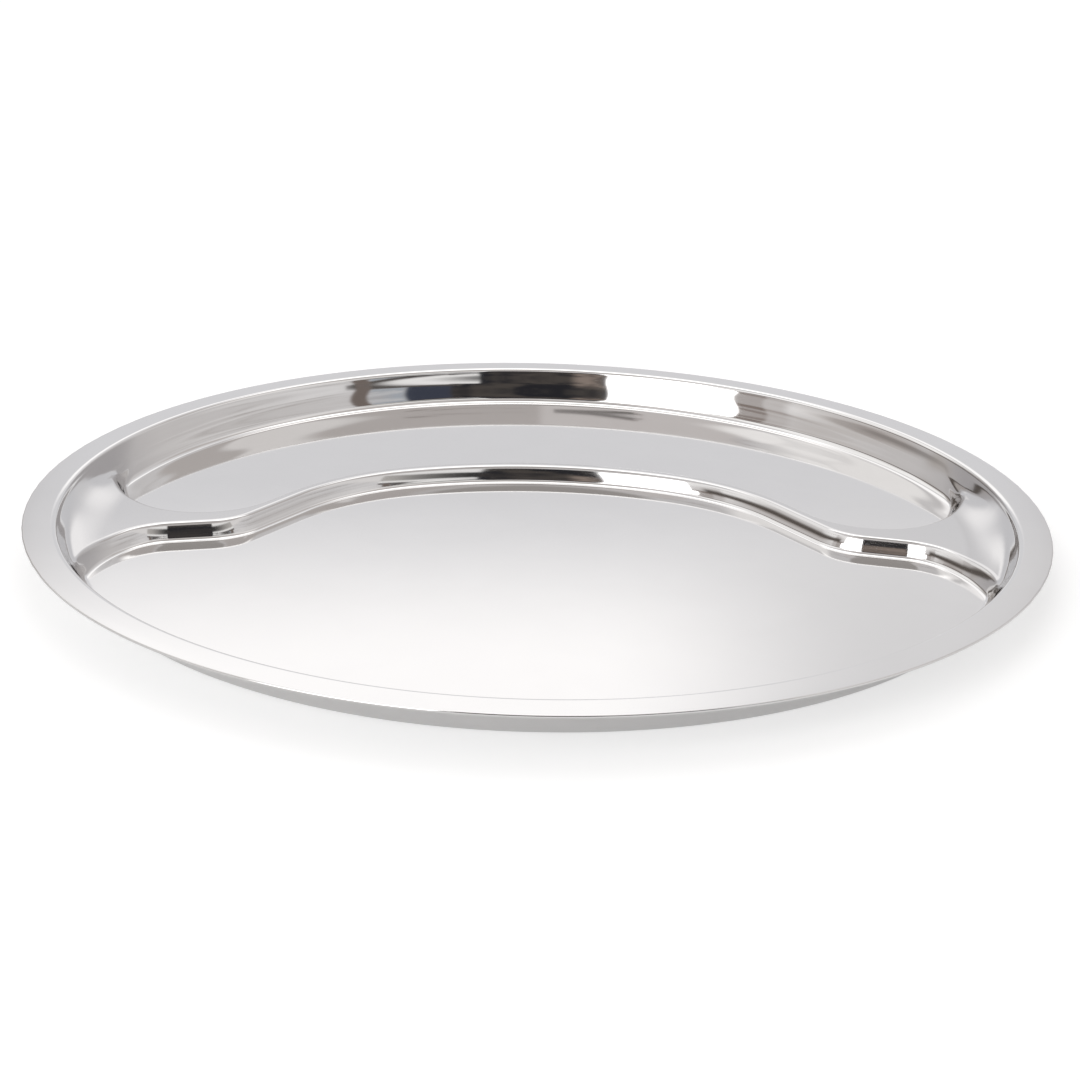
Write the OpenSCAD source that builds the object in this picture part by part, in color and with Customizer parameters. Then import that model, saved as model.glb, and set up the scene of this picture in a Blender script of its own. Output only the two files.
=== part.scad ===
// Round serving plate with two compartments, pressed from one disc of polished steel sheet.
// The origin is under the middle of the plate, on the surface that it stands on, with +Z up.
// The large compartment is on the -Y side, towards the eater, and the crescent is on the +Y side.

/* [Plate] */
// Diameter over the rim
plate_d = 305; // [280:1:330]
// Thickness of the sheet
sheet_t = 0.8; // [0.5:0.05:1.2]
// Depth of the compartments below the rim
plate_depth = 11.5; // [9:0.5:16]
// Width of the rim, out to its cut edge from the corner over the side wall
rim_w = 9.2; // [7:0.1:12]
// Distance that the side wall leans outwards on its way up
wall_lean = 5.7; // [3:0.1:7]

/* [Bends] */
// Bend radius where the rim turns down into the side wall, on the upper face
rim_bend_r = 2; // [1.4:0.1:3]
// Bend radius where the side wall meets the floor, on the upper face
foot_bend_r = 3; // [2:0.1:6]
// Bend radius at the foot of the low wall over a shoulder, on the upper face
shoulder_bend_r = 1.5; // [1:0.1:2.5]
// Height of the straight wall over a shoulder, below the rim bend
shoulder_wall_h = 0.4; // [0.2:0.05:1]
// Steepness that a shoulder's sweep reaches at the foot of its wall
sweep_turn = 37; // [30:1:42]
// Radius of the softened corners of the rim's cut edge
edge_r = 0.3; // [0.1:0.05:0.4]

/* [Divider section] */
// Height of the divider above the floor
ridge_h = 4.8; // [3.8:0.1:6]
// Width of the flat top where the divider is narrowest
ridge_flat = 1.2; // [0.5:0.1:3]
// Steepness of the divider's sides
ridge_slope = 58; // [45:1:64]
// Bend radius along the top edges of the divider, on the upper face
ridge_top_r = 2.2; // [1.5:0.1:3]
// Bend radius along the foot of the divider, on the upper face
ridge_foot_r = 1.8; // [1:0.1:2.5]

/* [Divider outline] */
// Distance of the arch's crown behind the middle of the plate
crown_y = 47; // [35:1:55]
// Radius of the arch over its crown
crown_r = 125; // [100:1:150]
// Turn of the arch from the middle of its crown to its haunch
crown_turn = 20; // [15:1:25]
// Radius of the arch along its haunches
haunch_r = 68; // [58:1:74]
// Heading of the flanks, measured from the crown's
flank_turn = 57; // [50:1:62]
// Length of the straight flank on the large compartment's side
flank_len = 21; // [15:1:26]
// Radius of the throat, where the flank turns into the shoulder
throat_r = 17; // [12:1:20]
// Heading of the shoulder's front edge behind the throat
throat_turn = 8; // [0:1:15]
// Radius of the lobe at either end of the large compartment
lobe_r = 37; // [32:1:40]
// Length of the straight flank on the crescent's side
saddle_lead = 10.5; // [5:0.5:14]
// Radius of the crescent's near edge behind a shoulder
saddle_r = 26; // [22:1:30]
// Heading at which the crescent's near edge turns up to its tip
saddle_turn = 40; // [30:1:50]
// Radius of the crescent's near edge at its tip
tip_r = 46; // [40:1:52]

/* [Hidden] */
$fn = 180;
plate_r = plate_d / 2;
floor_z = sheet_t;
rim_z = floor_z + plate_depth;
shoulder_z = floor_z + ridge_h;
wall_top_r = plate_r - rim_w;
wall_turn = atan2(plate_depth, wall_lean);
overrun = sheet_t;
steps_per_bend = 5;
degrees_per_step = 7;

// Points of a bend in a section, about its centre, from one steepness to another
function bend(centre, r, from, to) =
    [for (i = [0:steps_per_bend])
        let (a = from + (to - from) * i / steps_per_bend)
        centre + r * [sin(a), -cos(a)]];

// Distance of the side wall's upper face from the middle of the plate
function wall_x(z) = wall_top_r - (rim_z - z) / tan(wall_turn);

// Sections on a face g below the upper one: the bend at the foot of the side wall over a floor,
function floor_bend(g) =
    bend([wall_x(floor_z) - foot_bend_r * tan(wall_turn / 2), floor_z + foot_bend_r],
        foot_bend_r + g, 0, wall_turn);

// the bend from the side wall into the rim,
function rim_bend(g) =
    bend([wall_top_r + rim_bend_r * tan(wall_turn / 2), rim_z - rim_bend_r],
        rim_bend_r - g, 180 + wall_turn, 180);

// and a shoulder's long sweep up to its low wall, with the bend between them
function shoulder_sweep(g) =
    let (
        wall_foot_z = rim_z - rim_bend_r * (1 - cos(wall_turn)) - shoulder_wall_h,
        sweep_top_z = wall_foot_z - shoulder_bend_r * (cos(sweep_turn) - cos(wall_turn)),
        sweep_r = (sweep_top_z - shoulder_z) / (1 - cos(sweep_turn)),
        bend_centre = [wall_x(wall_foot_z), wall_foot_z]
            - shoulder_bend_r * [sin(wall_turn), -cos(wall_turn)],
        sweep_centre = bend_centre - (sweep_r - shoulder_bend_r) * [sin(sweep_turn), -cos(sweep_turn)]
    )
    concat(
        bend(sweep_centre, sweep_r + g, 0, sweep_turn),
        bend(bend_centre, shoulder_bend_r + g,
            sweep_turn + (wall_turn - sweep_turn) / steps_per_bend, wall_turn)
    );

function last(list) = list[len(list) - 1];

// What the plate would hold if its whole floor were at the height of the shoulders
module shallow_inside() {
    mouth_r = last(rim_bend(0)).x;
    rotate_extrude()
        polygon(concat(
            [[0, shoulder_z]],
            shoulder_sweep(0),
            rim_bend(0),
            [[mouth_r, rim_z + overrun], [0, rim_z + overrun]]
        ));
}

// The same with its sheet and its rim, and not hollow
module shallow_outside() {
    edge_x = plate_r - edge_r;
    rotate_extrude()
        polygon(concat(
            [[0, shoulder_z - sheet_t]],
            shoulder_sweep(sheet_t),
            rim_bend(sheet_t),
            bend([edge_x, rim_z - sheet_t + edge_r], edge_r, 0, 90),
            bend([edge_x, rim_z - edge_r], edge_r, 90, 180),
            [[0, rim_z]]
        ));
}

// The deeper part of the form, up to where the wall over a shoulder is straight
module deep_part(g) {
    join = last(shoulder_sweep(g));
    rotate_extrude()
        polygon(concat([[0, floor_z - g]], floor_bend(g), [join, [0, join.y]]));
}

// A path seen from above is a list of [x, y, heading]. This adds an arc to it, to the left for a
// turn above zero.
function turn(path, angle, r) =
    let (
        p = last(path),
        s = sign(angle) * r,
        steps = ceil(abs(angle) / degrees_per_step)
    )
    concat(path, [for (i = [1:steps])
        let (a = p.z + angle * i / steps)
        [p.x + s * (sin(a) - sin(p.z)), p.y - s * (cos(a) - cos(p.z)), a]]);

// This adds a straight, with a square corner at its end for an angle of 90 or -90
function ahead(path, length, angle = 0) =
    let (p = last(path))
    concat(path, [[p.x + length * cos(p.z), p.y + length * sin(p.z), p.z + angle / 2]]);

// The left half of a path mirrors its right half, which starts on the middle of the plate
function both_halves(path) =
    concat([for (i = [len(path) - 1:-1:1]) [-path[i].x, path[i].y, -path[i].z]], path);

// Edge of the flat top of the divider towards the large compartment
large_edge = both_halves(ahead(ahead(turn(turn(ahead(turn(turn([[0, crown_y, 0]],
    -crown_turn, crown_r), crown_turn - flank_turn, haunch_r), flank_len),
    flank_turn - throat_turn, throat_r), throat_turn - 90, lobe_r), lobe_r), plate_r, -90));

// Edge of the flat top of the divider towards the crescent
crescent_edge = both_halves(ahead(ahead(turn(turn(ahead(turn(turn([[0, crown_y + ridge_flat, 0]],
    -crown_turn, crown_r + ridge_flat), crown_turn - flank_turn, haunch_r + ridge_flat), saddle_lead),
    flank_turn + saddle_turn, saddle_r), 90 - saddle_turn, tip_r), tip_r), plate_r, 90));

// Side of the divider as [distance from the flat top's edge, height], going up, on a face g below
// the upper one. Above the flat top it leans back, which ends the shoulder's bend in a slope.
function divider_side(g) =
    let (
        straight = (ridge_h - (ridge_top_r + ridge_foot_r) * (1 - cos(ridge_slope))) / tan(ridge_slope),
        run = straight + (ridge_top_r + ridge_foot_r) * sin(ridge_slope),
        ledge = ridge_flat / 4
    )
    concat(
        [[run, floor_z - g - overrun]],
        [for (p = bend([0, floor_z + ridge_foot_r], ridge_foot_r + g, 0, ridge_slope)) [run - p.x, p.y]],
        [for (p = bend([0, shoulder_z - ridge_top_r], ridge_top_r - g, 180 - ridge_slope, 180)) p],
        [[-ledge - g * tan(ridge_slope / 2), shoulder_z - g],
            [-ledge - g / sin(ridge_slope) - (rim_z - shoulder_z) / tan(ridge_slope), rim_z]]
    );

// All the room on one side of the divider: in front of it for a side of -1, behind it for 1
module room(edge, side, g) {
    section = divider_side(g);
    path = side < 0 ? edge : [for (i = [len(edge) - 1:-1:0]) edge[i]];
    n = len(path);
    top = len(section) - 1;
    polyhedron(
        points = [for (s = section) for (p = path)
            [p.x - side * s.x * sin(p.z), p.y + side * s.x * cos(p.z), s.y]],
        faces = concat(
            [[for (i = [n - 1:-1:0]) i], [for (i = [0:n - 1]) top * n + i]],
            [for (k = [0:top - 1]) for (i = [0:n - 1])
                let (a = k * n + i, b = k * n + (i + 1) % n)
                each [[a, b, b + n], [a, b + n, a + n]]]
        )
    );
}

// The form that one face of the sheet follows in the two compartments
module compartments(g) {
    intersection() {
        deep_part(g);
        room(large_edge, -1, g);
    }
    intersection() {
        deep_part(g);
        room(crescent_edge, 1, g);
    }
}

// The sheet lies between an outer and an inner form
module plate()
    color("silver")
    difference() {
        union() {
            shallow_outside();
            compartments(sheet_t);
        }
        shallow_inside();
        compartments(0);
    }

plate();
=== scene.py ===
from math import acos, atan2, ceil, copysign, cos, degrees, hypot, pi, radians, sin, tan

import bmesh
import bpy
import numpy as np
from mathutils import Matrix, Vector


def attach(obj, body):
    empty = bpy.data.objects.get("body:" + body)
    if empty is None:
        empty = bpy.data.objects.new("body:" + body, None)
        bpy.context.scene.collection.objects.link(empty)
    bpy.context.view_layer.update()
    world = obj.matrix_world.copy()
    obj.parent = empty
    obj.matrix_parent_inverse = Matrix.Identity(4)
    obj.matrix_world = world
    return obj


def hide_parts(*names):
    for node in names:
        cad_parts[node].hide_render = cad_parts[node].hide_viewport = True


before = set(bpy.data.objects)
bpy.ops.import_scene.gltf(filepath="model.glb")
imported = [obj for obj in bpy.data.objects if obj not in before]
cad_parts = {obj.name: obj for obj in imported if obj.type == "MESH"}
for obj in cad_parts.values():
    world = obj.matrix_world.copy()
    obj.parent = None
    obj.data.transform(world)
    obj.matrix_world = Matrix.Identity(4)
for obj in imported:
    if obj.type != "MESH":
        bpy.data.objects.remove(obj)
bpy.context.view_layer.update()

# ---- Plate: the pressed sheet --------------------------------------------------------------
# One disc of polished stainless steel. The press gives it a flat rim, a leaning side wall and a
# floor, and raises the arched divider, which widens into a shoulder at either end. Made here as
# the right half of the upper face, mirrored, and then given the sheet's thickness.
plate_radius = 0.1525
sheet = 0.0008
floor_z = sheet
rim_z = 0.0123
shoulder_z = 0.0056
wall_top_radius = 0.1433
wall_rise = 0.0115
wall_lean = 0.0057
wall_slope = atan2(wall_rise, wall_lean)
wall_bow = 0.00011
rim_bend = 0.002
floor_bend = 0.003
shoulder_bend = 0.0015
shoulder_wall = 0.0004
sweep_turn = radians(37)
# Bend at the foot of the wall where a shoulder has no sweep
tight_bend = 0.003
edge_round = 0.0003

ridge_top_bend = 0.0022
ridge_foot_bend = 0.0018
ridge_slope = radians(58)
ridge_bulge = radians(4)
ridge_flat = 0.0012

# Steps of a bend in the sections that the wall's rings are read from, and the divider's rows
fine = 40
row_spacing = 0.0016
# How close two heights or places have to be to count as one
same = 1e-7
seam = 1e-6
near_circle = 2e-6
near_height = 1e-5
near_edge = 5e-5

# Each edge of the divider's flat top, from the crown to the right, as turns in degrees (to the
# left above zero) and radii, or a straight's length after a turn of zero
crown_y = 0.047
large_edge = [
    (-20, 0.125),
    (-37, 0.068),
    (0, 0.0215),
    (44, 0.017),
    (0, 0.012),
    (-40, 0.021),
    (-37, 0.045),
]
crescent_edge = [(-20, 0.1262), (-37, 0.0692), (0, 0.0105), (97, 0.026), (50, 0.046)]


def wall_radius(z):
    """Distance of the side wall from the middle of the plate."""
    return wall_top_radius - (rim_z - z) / tan(wall_slope)


def bend(centre, radius, start, end, steps):
    """Points on an arc of a section, from one steepness to another."""
    angles = [start + (end - start) * i / steps for i in range(steps + 1)]
    return [(centre[0] + radius * sin(a), centre[1] - radius * cos(a)) for a in angles]


def floor_section(steps):
    """The bend at the foot of the wall over a floor, as (radius, height)."""
    centre = (wall_radius(floor_z) - floor_bend * tan(wall_slope / 2), floor_z + floor_bend)
    return bend(centre, floor_bend, 0, wall_slope, steps)


def shoulder_section(steps):
    """A shoulder's long sweep, and the bend into the low wall over it."""
    wall_foot = rim_z - rim_bend * (1 - cos(wall_slope)) - shoulder_wall
    x = wall_radius(wall_foot) - shoulder_bend * sin(wall_slope)
    z = wall_foot + shoulder_bend * cos(wall_slope)
    sweep = (z - shoulder_bend * cos(sweep_turn) - shoulder_z) / (1 - cos(sweep_turn))
    centre = (x - (sweep - shoulder_bend) * sin(sweep_turn), shoulder_z + sweep)
    long_bend = bend(centre, sweep, 0, sweep_turn, steps)
    return long_bend[:-1] + bend((x, z), shoulder_bend, sweep_turn, wall_slope, steps)


def rim_section(steps):
    """The bend from the wall into the rim."""
    centre = (wall_top_radius + rim_bend * tan(wall_slope / 2), rim_z - rim_bend)
    return bend(centre, rim_bend, pi + wall_slope, pi, steps)


# The divider's side, going up, as (distance from the flat top's edge, height)
rise = shoulder_z - floor_z
foot_slope = ridge_slope + ridge_bulge
top_slope = ridge_slope - ridge_bulge
bends_rise = ridge_foot_bend * (1 - cos(foot_slope)) + ridge_top_bend * (1 - cos(top_slope))
side_length = (rise - bends_rise) / sin(ridge_slope)
side_radius = side_length / (2 * sin(ridge_bulge))
foot_run = ridge_foot_bend * sin(foot_slope)
ridge_run = foot_run + side_length * cos(ridge_slope) + ridge_top_bend * sin(top_slope)
ridge_side = bend((ridge_run, ridge_foot_bend), ridge_foot_bend, 0, -foot_slope, 8)
foot_x, foot_z = ridge_side.pop()
centre = (foot_x - side_radius * sin(foot_slope), foot_z - side_radius * cos(foot_slope))
ridge_side += bend(centre, side_radius, pi - foot_slope, pi - top_slope, 6)[:-1]
ridge_side += bend((0, rise - ridge_top_bend), ridge_top_bend, pi - top_slope, pi, 10)

# The wall's sections, as radii and heights: over a floor, over a shoulder, and with no sweep
(foot_x, foot_z), (head_x, head_z) = floor_section(1)[-1], rim_section(1)[0]
wall = []
for i in range(1, fine):
    part = i / fine
    bow = wall_bow * sin(pi * part) ** 2
    x = foot_x + (head_x - foot_x) * part - bow * sin(wall_slope)
    wall.append((x, foot_z + (head_z - foot_z) * part + bow * cos(wall_slope)))
rim = rim_section(fine) + [(plate_radius, rim_z)]
floor_wall = np.array(floor_section(fine) + wall + rim).T
raised_wall = np.array(shoulder_section(fine) + rim).T
centre = (wall_radius(shoulder_z) - tight_bend * tan(wall_slope / 2), shoulder_z + tight_bend)
tight_wall = np.array(bend(centre, tight_bend, 0, wall_slope, fine) + rim).T
ridge_runs, ridge_heights = np.array(ridge_side[::-1]).T


def last_centre(edge, start_y):
    """Centre of an edge's last arc, which ends facing along Y."""
    x, y, heading = 0, start_y, 0
    for turn, size in edge:
        if turn == 0:
            x, y = x + size * cos(heading), y + size * sin(heading)
        else:
            r = copysign(size, turn)
            after = heading + radians(turn)
            centre = (x - r * sin(heading), y + r * cos(heading))
            x, y = x + r * (sin(after) - sin(heading)), y - r * (cos(after) - cos(heading))
            heading = after
    return centre


large_x, large_y = last_centre(large_edge, crown_y)
crescent_x, crescent_y = last_centre(crescent_edge, crown_y + ridge_flat)


def within(x, y):
    """Distance into the large compartment and into the crescent, out near the wall."""
    from_large = np.hypot(np.maximum(x - large_x, 0), np.maximum(y - large_y, 0))
    from_crescent = np.hypot(np.maximum(x - crescent_x, 0), np.minimum(y - crescent_y, 0))
    return large_edge[-1][1] - from_large, crescent_edge[-1][1] - from_crescent


def raise_of(x, y):
    """Share of the divider's height at a place out near the wall."""
    return np.interp(max(within(x, y)), ridge_runs, ridge_heights) / rise


# A shoulder's sweep sets in at this distance in front of the plate's middle and is whole after
# this length, and it fades out in the same way behind the middle
sweep_front, sweep_in = 0.056, 0.044
sweep_back, sweep_out = 0.034, 0.03


def height(x, y):
    """Upper face near the wall: the section over a floor, blended with that over a shoulder."""
    r = hypot(x, y)
    low = np.interp(r, *floor_wall)
    swept = min(max((y + sweep_front) / sweep_in, 0), max((sweep_back - y) / sweep_out, 0), 1)
    swept = swept * swept * (3 - 2 * swept)
    high = np.interp(r, *tight_wall)
    high = high + (np.interp(r, *raised_wall) - high) * swept
    return low + (high - low) * raise_of(x, y)


def crossings(radius):
    """Angles at which the lines of the divider's sides cross a circle, from front to back."""
    angles = np.linspace(-pi / 2, pi / 2, 20001)
    large, crescent = within(radius * np.cos(angles), radius * np.sin(angles))
    front = np.interp(-ridge_runs[::-1], -large, angles)
    back = np.interp(ridge_runs, crescent, angles)
    return [-pi / 2, *front, *back, pi / 2]


# The divider is swept inside the circle on which the shoulders' sweep starts
inner = shoulder_section(1)[0][0]
up_axis = (0, 0, 1)
mesh = bmesh.new()


def sweep(edge, start_y, side):
    """The divider's side, swept along one edge. Its last arc stops at the inner circle."""
    line = [mesh.verts.new((0, start_y + side * run, floor_z + z)) for run, z in ridge_side]
    geom = line + [mesh.edges.new(pair) for pair in zip(line, line[1:])]
    x, y, heading = 0, start_y, 0
    for number, (turn, size) in enumerate(edge):
        if turn == 0:
            edges = [g for g in geom if isinstance(g, bmesh.types.BMEdge)]
            made = bmesh.ops.extrude_edge_only(mesh, edges=edges)["geom"]
            moved = [g for g in made if isinstance(g, bmesh.types.BMVert)]
            step = (size * cos(heading), size * sin(heading), 0)
            bmesh.ops.translate(mesh, verts=moved, vec=step)
            geom = [g for g in made if not isinstance(g, bmesh.types.BMFace)]
            x, y = x + step[0], y + step[1]
            continue
        r = copysign(size, turn)
        arc = radians(turn)
        after = heading + arc
        centre = Vector((x - r * sin(heading), y + r * cos(heading), 0))
        before = set(mesh.verts)
        steps = ceil(abs(arc) * size / row_spacing)
        made = bmesh.ops.spin(mesh, geom=geom, cent=centre, axis=up_axis, angle=arc, steps=steps)
        geom = made["geom_last"]
        x, y = x + r * (sin(after) - sin(heading)), y - r * (cos(after) - cos(heading))
        if number == len(edge) - 1:
            # Each row's places along the arc are drawn in, so that it ends on the inner circle
            across = hypot(centre.x, centre.y)
            first = heading - copysign(pi / 2, r)
            for v in set(mesh.verts) - before:
                arm = v.co.xy - centre.xy
                reach = arm.length
                meet = acos((inner**2 - across**2 - reach**2) / (2 * across * reach))
                last = atan2(centre.y, centre.x) - copysign(meet, r)
                angle = first + (atan2(arm.y, arm.x) - first) * (last - first) / arc
                v.co.xy = centre.xy + reach * Vector((cos(angle), sin(angle)))
        heading = after


sweep(large_edge, crown_y, -1)
sweep(crescent_edge, crown_y + ridge_flat, 1)

# The inner circle runs from the middle of the front, through the ends of the swept sides, to the
# middle of the back
stops = crossings(inner)
count = len(ridge_side)
for start, stop, z in (
    (stops[0], stops[1], floor_z),
    (stops[count], stops[count + 1], shoulder_z),
    (stops[-2], stops[-1], floor_z),
):
    first = mesh.verts.new((inner * cos(start), inner * sin(start), z))
    steps = ceil((stop - start) / radians(1))
    bmesh.ops.spin(mesh, geom=[first], axis=up_axis, angle=stop - start, steps=steps)
bmesh.ops.remove_doubles(mesh, verts=mesh.verts, dist=near_circle)

# Each floor is flat, and so is the divider's top, so each is one face
middle = sorted((v for v in mesh.verts if abs(v.co.x) < same), key=lambda v: v.co.y)
for low, high in zip(middle, middle[1:]):
    if abs(low.co.z - high.co.z) < same and not mesh.edges.get((low, high)):
        mesh.edges.new((low, high))
level = [
    e for e in mesh.edges
    if len(e.link_faces) < 2 and abs(e.verts[0].co.z - e.verts[1].co.z) < same
]
bmesh.ops.edgeloop_fill(mesh, edges=level)

# Sweep, bends, wall and rim: the inner circle is pushed out ring by ring, along the side's lines
ring = [
    e for e in mesh.edges
    if all(abs(v.co.xy.length - inner) < near_circle for v in e.verts)
]
radii = sorted(r for r, z in floor_section(9) + wall[2::3] + shoulder_section(9) + rim_section(10))
radii += [(radii[-1] + plate_radius) / 2, plate_radius]
least_gap = 0.0001
here = inner
for radius in radii:
    if radius - here < least_gap:
        continue
    made = bmesh.ops.extrude_edge_only(mesh, edges=ring)["geom"]
    ring = [g for g in made if isinstance(g, bmesh.types.BMEdge)]
    before, after = crossings(here), crossings(radius)
    for v in (g for g in made if isinstance(g, bmesh.types.BMVert)):
        angle = np.interp(atan2(v.co.y, v.co.x), before, after)
        v.co.xy = radius * cos(angle), radius * sin(angle)
        v.co.z = height(v.co.x, v.co.y)
    here = radius

# How far each place is raised: the shoulders get a slightly rougher finish and a painted shade
# that darkens their colour, and the divider's ridge a share of both
raised = mesh.verts.layers.float.new("raised")
ridge_share = 0.6
for v in mesh.verts:
    if v.co.xy.length > inner + near_circle:
        v[raised] = raise_of(v.co.x, v.co.y) * (v.co.xy.length < wall_top_radius)
    else:
        v[raised] = ridge_share * (v.co.z - floor_z) / rise

half = mesh.verts[:] + mesh.edges[:] + mesh.faces[:]
bmesh.ops.mirror(mesh, geom=half, axis="X", merge_dist=seam)
bmesh.ops.remove_doubles(mesh, verts=mesh.verts, dist=seam)
bmesh.ops.recalc_face_normals(mesh, faces=mesh.faces)
if sum(f.normal.z * f.calc_area() for f in mesh.faces) < 0:
    bmesh.ops.reverse_faces(mesh, faces=mesh.faces)
bmesh.ops.solidify(mesh, geom=mesh.faces[:], thickness=sheet)
for v in mesh.verts:
    v.co.z = min(max(v.co.z, 0), rim_z)

# The two corners of the rim's cut edge are softened
cut = [
    e for e in mesh.edges
    if all(abs(v.co.xy.length - plate_radius) < near_edge for v in e.verts)
    and abs(e.verts[0].co.z - e.verts[1].co.z) < near_height
]
bmesh.ops.bevel(
    mesh, geom=cut, offset=edge_round, affect="EDGES", segments=3, profile=0.5, material=-1
)
for f in mesh.faces:
    f.smooth = True

shape = bpy.data.meshes.new("plate_sheet")
mesh.to_mesh(shape)
mesh.free()
plate = bpy.data.objects.new("plate_sheet", shape)
bpy.context.collection.objects.link(plate)
normals = plate.modifiers.new("even_normals", "WEIGHTED_NORMAL")
normals.weight = 80


class Wire:
    """A shader socket that Python's sums turn into Math nodes."""

    def __init__(self, graph, socket):
        self.graph, self.socket = graph, socket

    def other(self, name):
        """Another output of this socket's node."""
        return Wire(self.graph, self.socket.node.outputs[name])

    def math(self, operation, *others):
        values = dict(enumerate((self,) + others))
        return self.graph.node("ShaderNodeMath", {"operation": operation}, values)

    def __add__(self, other):
        return self.math("ADD", other)

    def __sub__(self, other):
        return self.math("SUBTRACT", other)

    def __rsub__(self, other):
        return self.graph.node("ShaderNodeMath", {"operation": "SUBTRACT"}, {0: other, 1: self})

    def __mul__(self, other):
        return self.math("MULTIPLY", other)

    def __truediv__(self, other):
        return self.math("DIVIDE", other)

    __radd__ = __add__
    __rmul__ = __mul__


class Graph:
    """A node tree, emptied, to which nodes are added."""

    def __init__(self, tree):
        self.tree = tree
        tree.nodes.clear()

    def node(self, kind, settings=None, inputs=None, output=0):
        made = self.tree.nodes.new(kind)
        for name, value in (settings or {}).items():
            setattr(made, name, value)
        for name, value in (inputs or {}).items():
            if isinstance(value, Wire):
                self.tree.links.new(value.socket, made.inputs[name])
            else:
                made.inputs[name].default_value = value
        return Wire(self, made.outputs[output]) if made.outputs else None

    def mix(self, share, first, second):
        """A colour between two others, each a wire or (red, green, blue)."""
        first, second = (c if isinstance(c, Wire) else (*c, 1) for c in (first, second))
        inputs = {0: share, 6: first, 7: second}
        return self.node("ShaderNodeMix", {"data_type": "RGBA"}, inputs, output=2)


steel = bpy.data.materials.new("polished_steel")
steel.use_nodes = True
g = Graph(steel.node_tree)
place = g.node("ShaderNodeTexCoord", output="Object")
# Share of the rougher finish and of the painted shade, read from how far each place is raised
dull_and_shade = g.node("ShaderNodeAttribute", {"attribute_name": "raised"}, output="Fac")
noise = "ShaderNodeTexNoise"
waves = g.node(noise, inputs={"Vector": place, "Scale": 22.0, "Detail": 1.0})
smears = g.node(
    noise, inputs={"Vector": place, "Scale": 60.0, "Detail": 4.0, "Distortion": 0.6}
)
grain = g.node(noise, inputs={"Vector": place, "Scale": 2600.0, "Detail": 2.0})
rough = 0.03 + 0.03 * smears + 0.012 * grain + 0.05 * dull_and_shade
relief = {"Strength": 0.03, "Distance": 0.001, "Height": waves + 0.004 * grain}
bump = g.node("ShaderNodeBump", inputs=relief)
tint = g.mix(smears, (0.80, 0.79, 0.785), (0.83, 0.82, 0.815))
# Painted shade: the shoulders, and the ridge in part, are coloured darker so that they mirror less
# light
tint = g.mix(dull_and_shade, tint, (0.67, 0.66, 0.66))
surface = g.node(
    "ShaderNodeBsdfPrincipled",
    inputs={"Base Color": tint, "Metallic": 1.0, "Roughness": rough, "Normal": bump},
)
g.node("ShaderNodeOutputMaterial", inputs={"Surface": surface})
shape.materials.append(steel)

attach(plate, "root")
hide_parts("plate")

# ---- Table and studio ----------------------------------------------------------------------
# A plain white table top in front of a white sweep, and the studio that the steel mirrors: grey
# ceilings, a bright light behind the plate, and dark, white and pale panels round the camera.
# The top lies this far under the plate, so that no two faces share a plane
table_reach = 40
table_drop = 0.0001
table = bmesh.new()
bmesh.ops.create_grid(table, x_segments=1, y_segments=1, size=table_reach)
bmesh.ops.translate(table, verts=table.verts, vec=(0, 0, -table_drop))
table_shape = bpy.data.meshes.new("table")
table.to_mesh(table_shape)
table.free()
table_top = bpy.data.objects.new("table", table_shape)
bpy.context.collection.objects.link(table_top)
white = bpy.data.materials.new("table_white")
white.use_nodes = True
g = Graph(white.node_tree)
seen = g.node("ShaderNodeLightPath", output="Is Camera Ray")
mirrored = seen.other("Is Glossy Ray") + seen.other("Is Transmission Ray")
diffuse = g.node("ShaderNodeBsdfDiffuse", inputs={"Color": (0.55, 0.55, 0.55, 1)})
strength = 0.6 * seen + 0.3 * mirrored
glow = g.node("ShaderNodeEmission", inputs={"Color": (1, 1, 1, 1), "Strength": strength})
both = g.node("ShaderNodeAddShader", inputs={0: diffuse, 1: glow})
g.node("ShaderNodeOutputMaterial", inputs={"Surface": both})
table_shape.materials.append(white)

world = bpy.data.worlds.new("studio")
bpy.context.scene.world = world
world.use_nodes = True
g = Graph(world.node_tree)
way = g.node("ShaderNodeTexCoord", output="Generated")
x = g.node("ShaderNodeSeparateXYZ", inputs={0: way})
y, z = x.other("Y"), x.other("Z")
# Directions in degrees: up from the table, and across to the right from the camera's side
up = z.math("ARCSINE") * degrees(1)
across = x.math("ARCTAN2", 0 - y) * degrees(1)


def step(value, start, stop):
    """A smooth step from 0 to 1."""
    inputs = {"Value": value, "From Min": start, "From Max": stop}
    return g.node("ShaderNodeMapRange", {"interpolation_type": "SMOOTHSTEP"}, inputs)


def panel(left, right, low, high, soft):
    """1 inside a box of directions, seen from the plate: degrees to the right, and up."""
    return (
        step(across, left - soft, left + soft)
        * (1 - step(across, right - soft, right + soft))
        * step(up, low - soft, low + soft)
        * (1 - step(up, high - soft, high + soft))
    )


# Long faint streaks, which follow the horizon as the steel's curved walls show it
flat = (x * x + y * y).math("SQRT")
back = y / flat
bent = up + (1 + back) * (10.6 + 4.5 * (1 + back))
lanes = g.node("ShaderNodeCombineXYZ", inputs={0: across * 0.012, 1: bent * 0.42})
streak = g.node(
    noise, inputs={"Vector": lanes, "Scale": 1.0, "Detail": 3.0, "Roughness": 0.62}
)
blots = g.node("ShaderNodeCombineXYZ", inputs={0: across * 0.06, 1: bent * 0.16})
patch = g.node(noise, inputs={"Vector": blots, "Scale": 1.0, "Detail": 4.0, "Roughness": 0.6})
calm = 1 - 0.7 * step(back, 0.2, 0.5)
thin = step(streak, 0.52, 0.66) * calm

# The room: grey, paler towards the ceiling, with dark and pale streaks
sky = g.mix(step(up, 18, 44), (0.60, 0.58, 0.575), (0.74, 0.73, 0.735))
sky = g.mix(thin * 0.75, sky, (0.30, 0.265, 0.245))
sky = g.mix(step(streak, 0.47, 0.34) * calm * 0.6, sky, (0.86, 0.85, 0.845))
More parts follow.
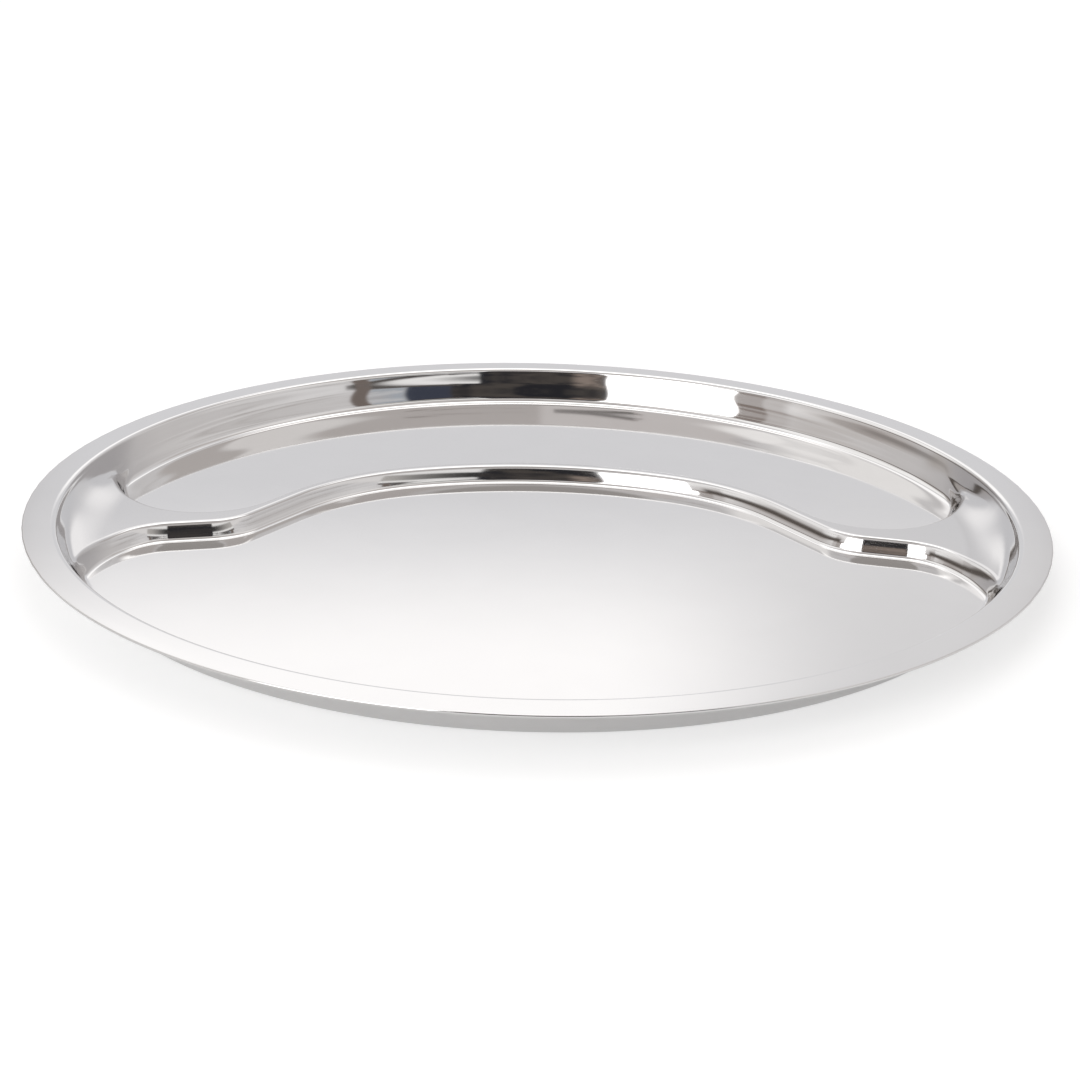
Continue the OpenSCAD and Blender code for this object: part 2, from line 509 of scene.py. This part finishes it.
# Behind the plate, low down: darker at the sides, and a pale backdrop in the middle
sky = g.mix(step(back, 0.4, 0.8) * (1 - step(up, 14, 30)) * 0.8, sky, (0.46, 0.445, 0.45))
near = g.mix(step(up, 18.5, 25), (0.735, 0.735, 0.755), (1.19, 1.18, 1.18))
beside = step(across, 0, 90) * (1 - step(across, 167, 178)) * step(up, 17, 22)
near = g.mix(beside, near, (0.78, 0.775, 0.785))
sky = g.mix(step(back, 0.92, 0.97), sky, near)

# The panels, each with its colour, its box of directions (left, right, low, high and softness)
# and its share
grey = (0.56, 0.53, 0.515)
lamp = (3.0, 3.0, 3.0)
blinds = g.mix(step(patch, 0.4, 0.62), (0.022, 0.022, 0.026), (0.075, 0.066, 0.06))
far_glare = g.mix(step(up, 20, 29), (0.45, 0.42, 0.40), (1.05, 1.04, 1.03))
glare = g.mix(step(up, 25, 37), (0.60, 0.57, 0.555), (1.10, 1.09, 1.08))
near_glare = g.mix(step(up, 37, 46), (0.52, 0.485, 0.47), (1.0, 0.99, 0.98))
curtain = g.mix(step(across, 18, 60), (0.04, 0.04, 0.04), (0.50, 0.48, 0.46))
belt = step(bent, 43.6, 45.2) * (1 - step(bent, 47, 51))
pale = step(streak, 0.52, 0.4)
for colour, box, share in (
    # Ceiling, with a dark beam
    ((0.70, 0.67, 0.66), (-90, 30, 56, 76, 4), 1),
    (grey, (0, 140, 58, 76, 3), 1),
    ((0.84, 0.82, 0.81), (20, 124, 40, 59, 2), 1),
    (grey, (124, 148, 36, 62, 3), 1),
    ((0.16, 0.13, 0.12), (-45, 60, 63, 67, 1.2), thin),
    ((0.13, 0.12, 0.115), (-42, -6, 64, 66, 0.8), 0.8),
    # A big pale light on the left, with a darker foot, streaks and a dark belt along it
    ((1.15, 1.14, 1.13), (-98, -19, 46, 59, 2), 1),
    (far_glare, (-152, -122, 14, 58, 3), 1),
    (glare, (-122, -75, 20, 58, 3), 1 - 0.5 * pale),
    (near_glare, (-75, -56, 20, 58, 2), 1 - 0.4 * pale),
    ((0.21, 0.17, 0.15), (-125, -58, 12, 44, 3), thin * 0.5),
    ((0.24, 0.20, 0.18), (-68, -58, 22, 38, 0.8), 0.4 + 0.6 * step(streak, 0.42, 0.52)),
    ((0.11, 0.095, 0.085), (-152, -64, 5, 44, 3), belt),
    # A white lamp, wider at its foot
    (lamp, (-59, -20, 6, 37, 0.6), 1),
    (lamp, (-55, -20, 36, 52, 0.6), 1),
    # On the right a light with a dark curtain before it
    ((0.95, 0.94, 0.93), (18, 60, 37.5, 58, 1), 1),
    (curtain, (16, 60, 40, 48, 1.2), 1),
    # Dark blinds over the camera, with a brown patch, and bluish ones to their right
    (blinds, (-20, 19, 6, 56, 0.6), 1),
    ((0.27, 0.22, 0.19), (-20, -10, 36, 44, 2), 0.4 + 0.6 * step(patch, 0.45, 0.55)),
    (blinds, (18, 28, 6, 38, 0.6), 1),
    ((0.05, 0.056, 0.078), (27, 41, 6, 37, 1), 1),
    ((0.40, 0.43, 0.47), (41, 52, 6, 36, 1.5), 0.4 + 0.6 * step(patch, 0.42, 0.55)),
    ((0.09, 0.08, 0.075), (24, 60, 35.5, 37.5, 0.7), 1),
    ((0.18, 0.15, 0.135), (52, 57, 22, 37, 0.8), 1),
):
    sky = g.mix(panel(*box) * share, sky, colour)

# The middle of the ceiling, and a light that hangs behind the plate
sky = g.mix(step(up, 76, 79), sky, (0.42, 0.40, 0.385))
overhead = step(up, 48, 54) * (1 - step(up, 76, 80)) * step(back, 0.78, 0.88)
sky = g.mix(overhead, sky, (1.7, 1.69, 1.68))

# The white sweep: all that the camera itself sees of the world, and its foot in the steel
seen = g.node("ShaderNodeLightPath", output="Is Camera Ray")
sky = g.mix(seen.math("MAXIMUM", 1 - step(up, 2, 5)), sky, (1.0, 1.0, 1.0))
sky = g.node("ShaderNodeBackground", inputs={"Color": sky, "Strength": 1.0})
g.node("ShaderNodeOutputWorld", inputs={"Surface": sky})

# ---- Camera --------------------------------------------------------------------------------
# Low in front of the plate, on the eater's side, as the photograph was taken.
lens = bpy.data.cameras.new("camera")
lens.lens = 58.03
lens.sensor_width = 36
lens.sensor_height = 36
lens.sensor_fit = "HORIZONTAL"
lens.clip_start = 0.01
camera = bpy.data.objects.new("camera", lens)
bpy.context.collection.objects.link(camera)
camera.location = (0, -0.50406, 0.18783)
camera.rotation_euler = (radians(69.2228), radians(-1.3267), radians(0.4168))
bpy.context.scene.camera = camera
bpy.context.scene.view_settings.view_transform = "Standard"
